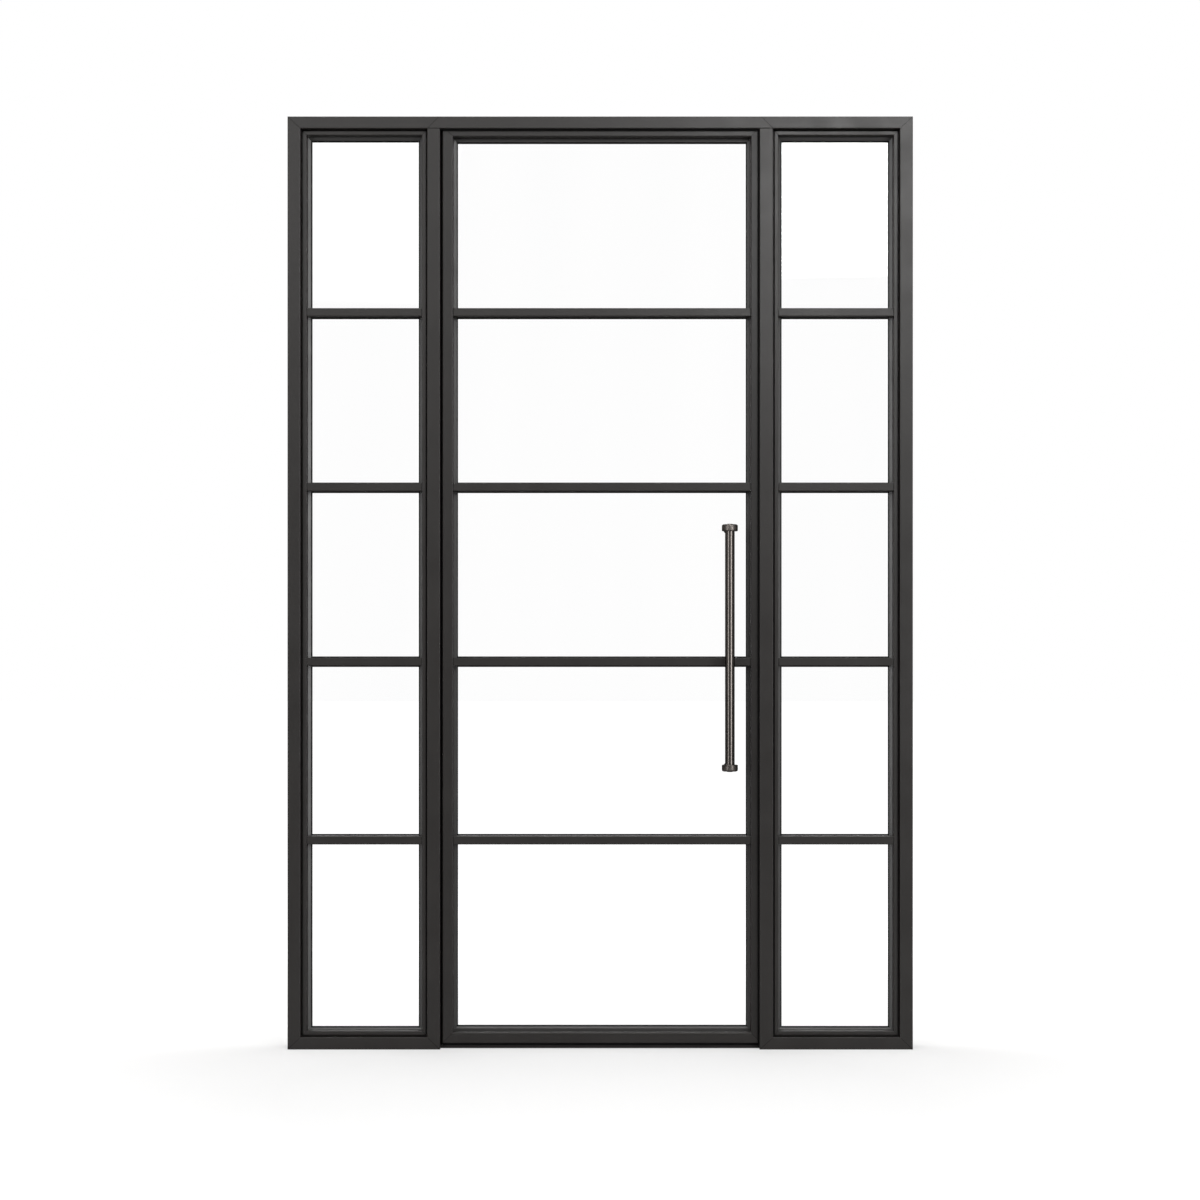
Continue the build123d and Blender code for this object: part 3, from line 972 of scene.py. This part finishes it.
# %% Bead screws
bead_screw_radius = 2.0 * mm
bead_screw_height = 1.2 * mm
bead_screws_up = 8
bead_screws_across = {"left": 1, "door": 3, "right": 1}
half_bead = bead_width / 2
for panel, body in panel_body.items():
    low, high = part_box(f"{panel}_rear_bead_stiles")
    rows = evenly(low.z + half_bead, high.z - half_bead, bead_screws_up)
    places = [(x, high.y, z) for x in (low.x + half_bead, high.x - half_bead) for z in rows]
    columns = evenly(low.x, high.x, bead_screws_across[panel])
    low_row = low.z + half_bead + bottom_bead_extra[panel] / 2
    places += [(x, high.y, z) for z in (low_row, high.z - half_bead) for x in columns]
    screw = turned(socket_screw(bead_screw_radius, bead_screw_height), facing_back)
    set_down(lay_out(screw, places), f"{panel}_bead_screws", hinge_steel, body)
    print(panel, "bead screws:", len(places))

# %% Threshold screws
threshold_screw_radius = 4.5 * mm
threshold_screw_height = 0.9 * mm
threshold_screw_setback = 45.0 * mm
threshold_screw_count = 4
low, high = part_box("threshold")
row = low.y + threshold_screw_setback
places = [(x, row, high.z) for x in evenly(low.x, high.x, threshold_screw_count)]
screws = lay_out(socket_screw(threshold_screw_radius, threshold_screw_height), places)
set_down(screws, "threshold_screws", hinge_steel, "frame")
print("threshold screws:", len(places))

# %% [markdown]
# ## Hinge caps and hinge screws
# A barrel hinge is closed at each end by a small turned cap. The cap is a short cylinder with a
# wide soft rim. Lower caps stay with the frame and upper ones swing with the leaf. Two screws
# hold each leaf half to the back of the stile.

# %% Hinge caps
cap_radius = 8.7 * mm
cap_height = 5.0 * mm
cap_dome_share = 0.7
cap_ease = 0.3 * mm


def barrel_cap():
    """A cap that stands on z = 0, domed by a wide eased rim."""
    cap = round_blank(cap_radius, cap_height, sides=40)
    choose_faces(cap, lambda normal: normal.z > squarely)
    bpy.ops.mesh.bevel(offset=cap_height * cap_dome_share, segments=5)
    bpy.ops.object.mode_set(mode="OBJECT")
    ease_edges(cap, cap_ease)
    return cap


pin = frame["record"]["behaviour"]["joints"][0]["pos_m"]
upper_caps = [(pin[0], pin[1], high) for low, high in stacked_edges("hinge_leaf_halves")]
set_down(lay_out(barrel_cap(), upper_caps), "hinge_upper_caps", hinge_steel, "leaf")
lower_caps = [(pin[0], pin[1], low) for low, high in stacked_edges("hinge_frame_halves")]
lower_cap = turned(barrel_cap(), facing_down)
set_down(lay_out(lower_cap, lower_caps), "hinge_lower_caps", hinge_steel, "frame")
print("hinge caps:", len(upper_caps) + len(lower_caps))

# %% Hinge screws
wing_thickness = 4.0 * mm
wing_screw_radius = 4.0 * mm
wing_screw_height = 1.6 * mm
wing_screw_edge = 7.0 * mm
wing_screw_end = 12.0 * mm
wing_face = leaf_back + wing_thickness
wing_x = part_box("hinge_leaf_halves")[1].x - wing_screw_edge
places = []
for low, high in stacked_edges("hinge_leaf_halves"):
    places.append((wing_x, wing_face, low + wing_screw_end))
    places.append((wing_x, wing_face, high - wing_screw_end))
screw = turned(socket_screw(wing_screw_radius, wing_screw_height), facing_back)
set_down(lay_out(screw, places), "hinge_screws", hinge_steel, "leaf")
print("hinge screws:", len(places))

# %% [markdown]
# ## Pull fittings
# Where each post of the pull meets the pane there is a black washer, so that steel never bears
# on glass. It is a short cylinder with both ends inset and the two insets bridged into a hole.
# A socket screw closes the end of each collar, and another sits in each rear cap.

# %% Where the pull is
rod_low, rod_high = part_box("pull_rod")
pull_x = (rod_low.x + rod_high.x) / 2
rod_y = (rod_low.y + rod_high.y) / 2
top_collar_low, top_collar_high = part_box("pull_top_bracket")
bottom_collar_low, bottom_collar_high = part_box("pull_bottom_bracket")
post_heights = [
    (bottom_collar_low.z + bottom_collar_high.z) / 2,
    (top_collar_low.z + top_collar_high.z) / 2,
]
pane_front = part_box("door_glass")[0].y
cap_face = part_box("pull_rear_caps")[1].y
print("pull at x", round(pull_x, 4), "posts at", [round(height, 4) for height in post_heights])

# %% Pull fittings
washer_radius = 9.5 * mm
washer_hole = 7.2 * mm
washer_thickness = 2.0 * mm
washer_ease = 0.3 * mm
collar_screw_radius = 7.0 * mm
collar_screw_height = 1.4 * mm
rear_screw_radius = 6.0 * mm
rear_screw_height = 1.2 * mm


def post_washer():
    """A flat ring that lies on z = 0."""
    ring = round_blank(washer_radius, washer_thickness, sides=48)
    choose_faces(ring, lambda normal: abs(normal.z) > squarely)
    bpy.ops.mesh.inset(thickness=washer_radius - washer_hole, use_individual=True)
    bpy.ops.mesh.bridge_edge_loops()
    bpy.ops.mesh.select_all(action="SELECT")
    bpy.ops.mesh.normals_make_consistent(inside=False)
    bpy.ops.object.mode_set(mode="OBJECT")
    ease_edges(ring, washer_ease)
    return ring


places = [(pull_x, pane_front - rubber_hair, height) for height in post_heights]
washers = lay_out(turned(post_washer(), facing_room), places)
set_down(washers, "pull_washers", seal_rubber, "leaf")
top_screw = socket_screw(collar_screw_radius, collar_screw_height)
top_screw = lay_out(top_screw, [(pull_x, rod_y, top_collar_high.z)])
bottom_screw = turned(socket_screw(collar_screw_radius, collar_screw_height), facing_down)
bottom_screw = lay_out(bottom_screw, [(pull_x, rod_y, bottom_collar_low.z)])
set_down(join_up([top_screw, bottom_screw]), "pull_collar_screws", pull_metal, "leaf")
rear_screw = turned(socket_screw(rear_screw_radius, rear_screw_height), facing_back)
places = [(pull_x, cap_face, height) for height in post_heights]
set_down(lay_out(rear_screw, places), "pull_rear_screws", pull_metal, "leaf")
print("pull fittings at", len(places), "posts")
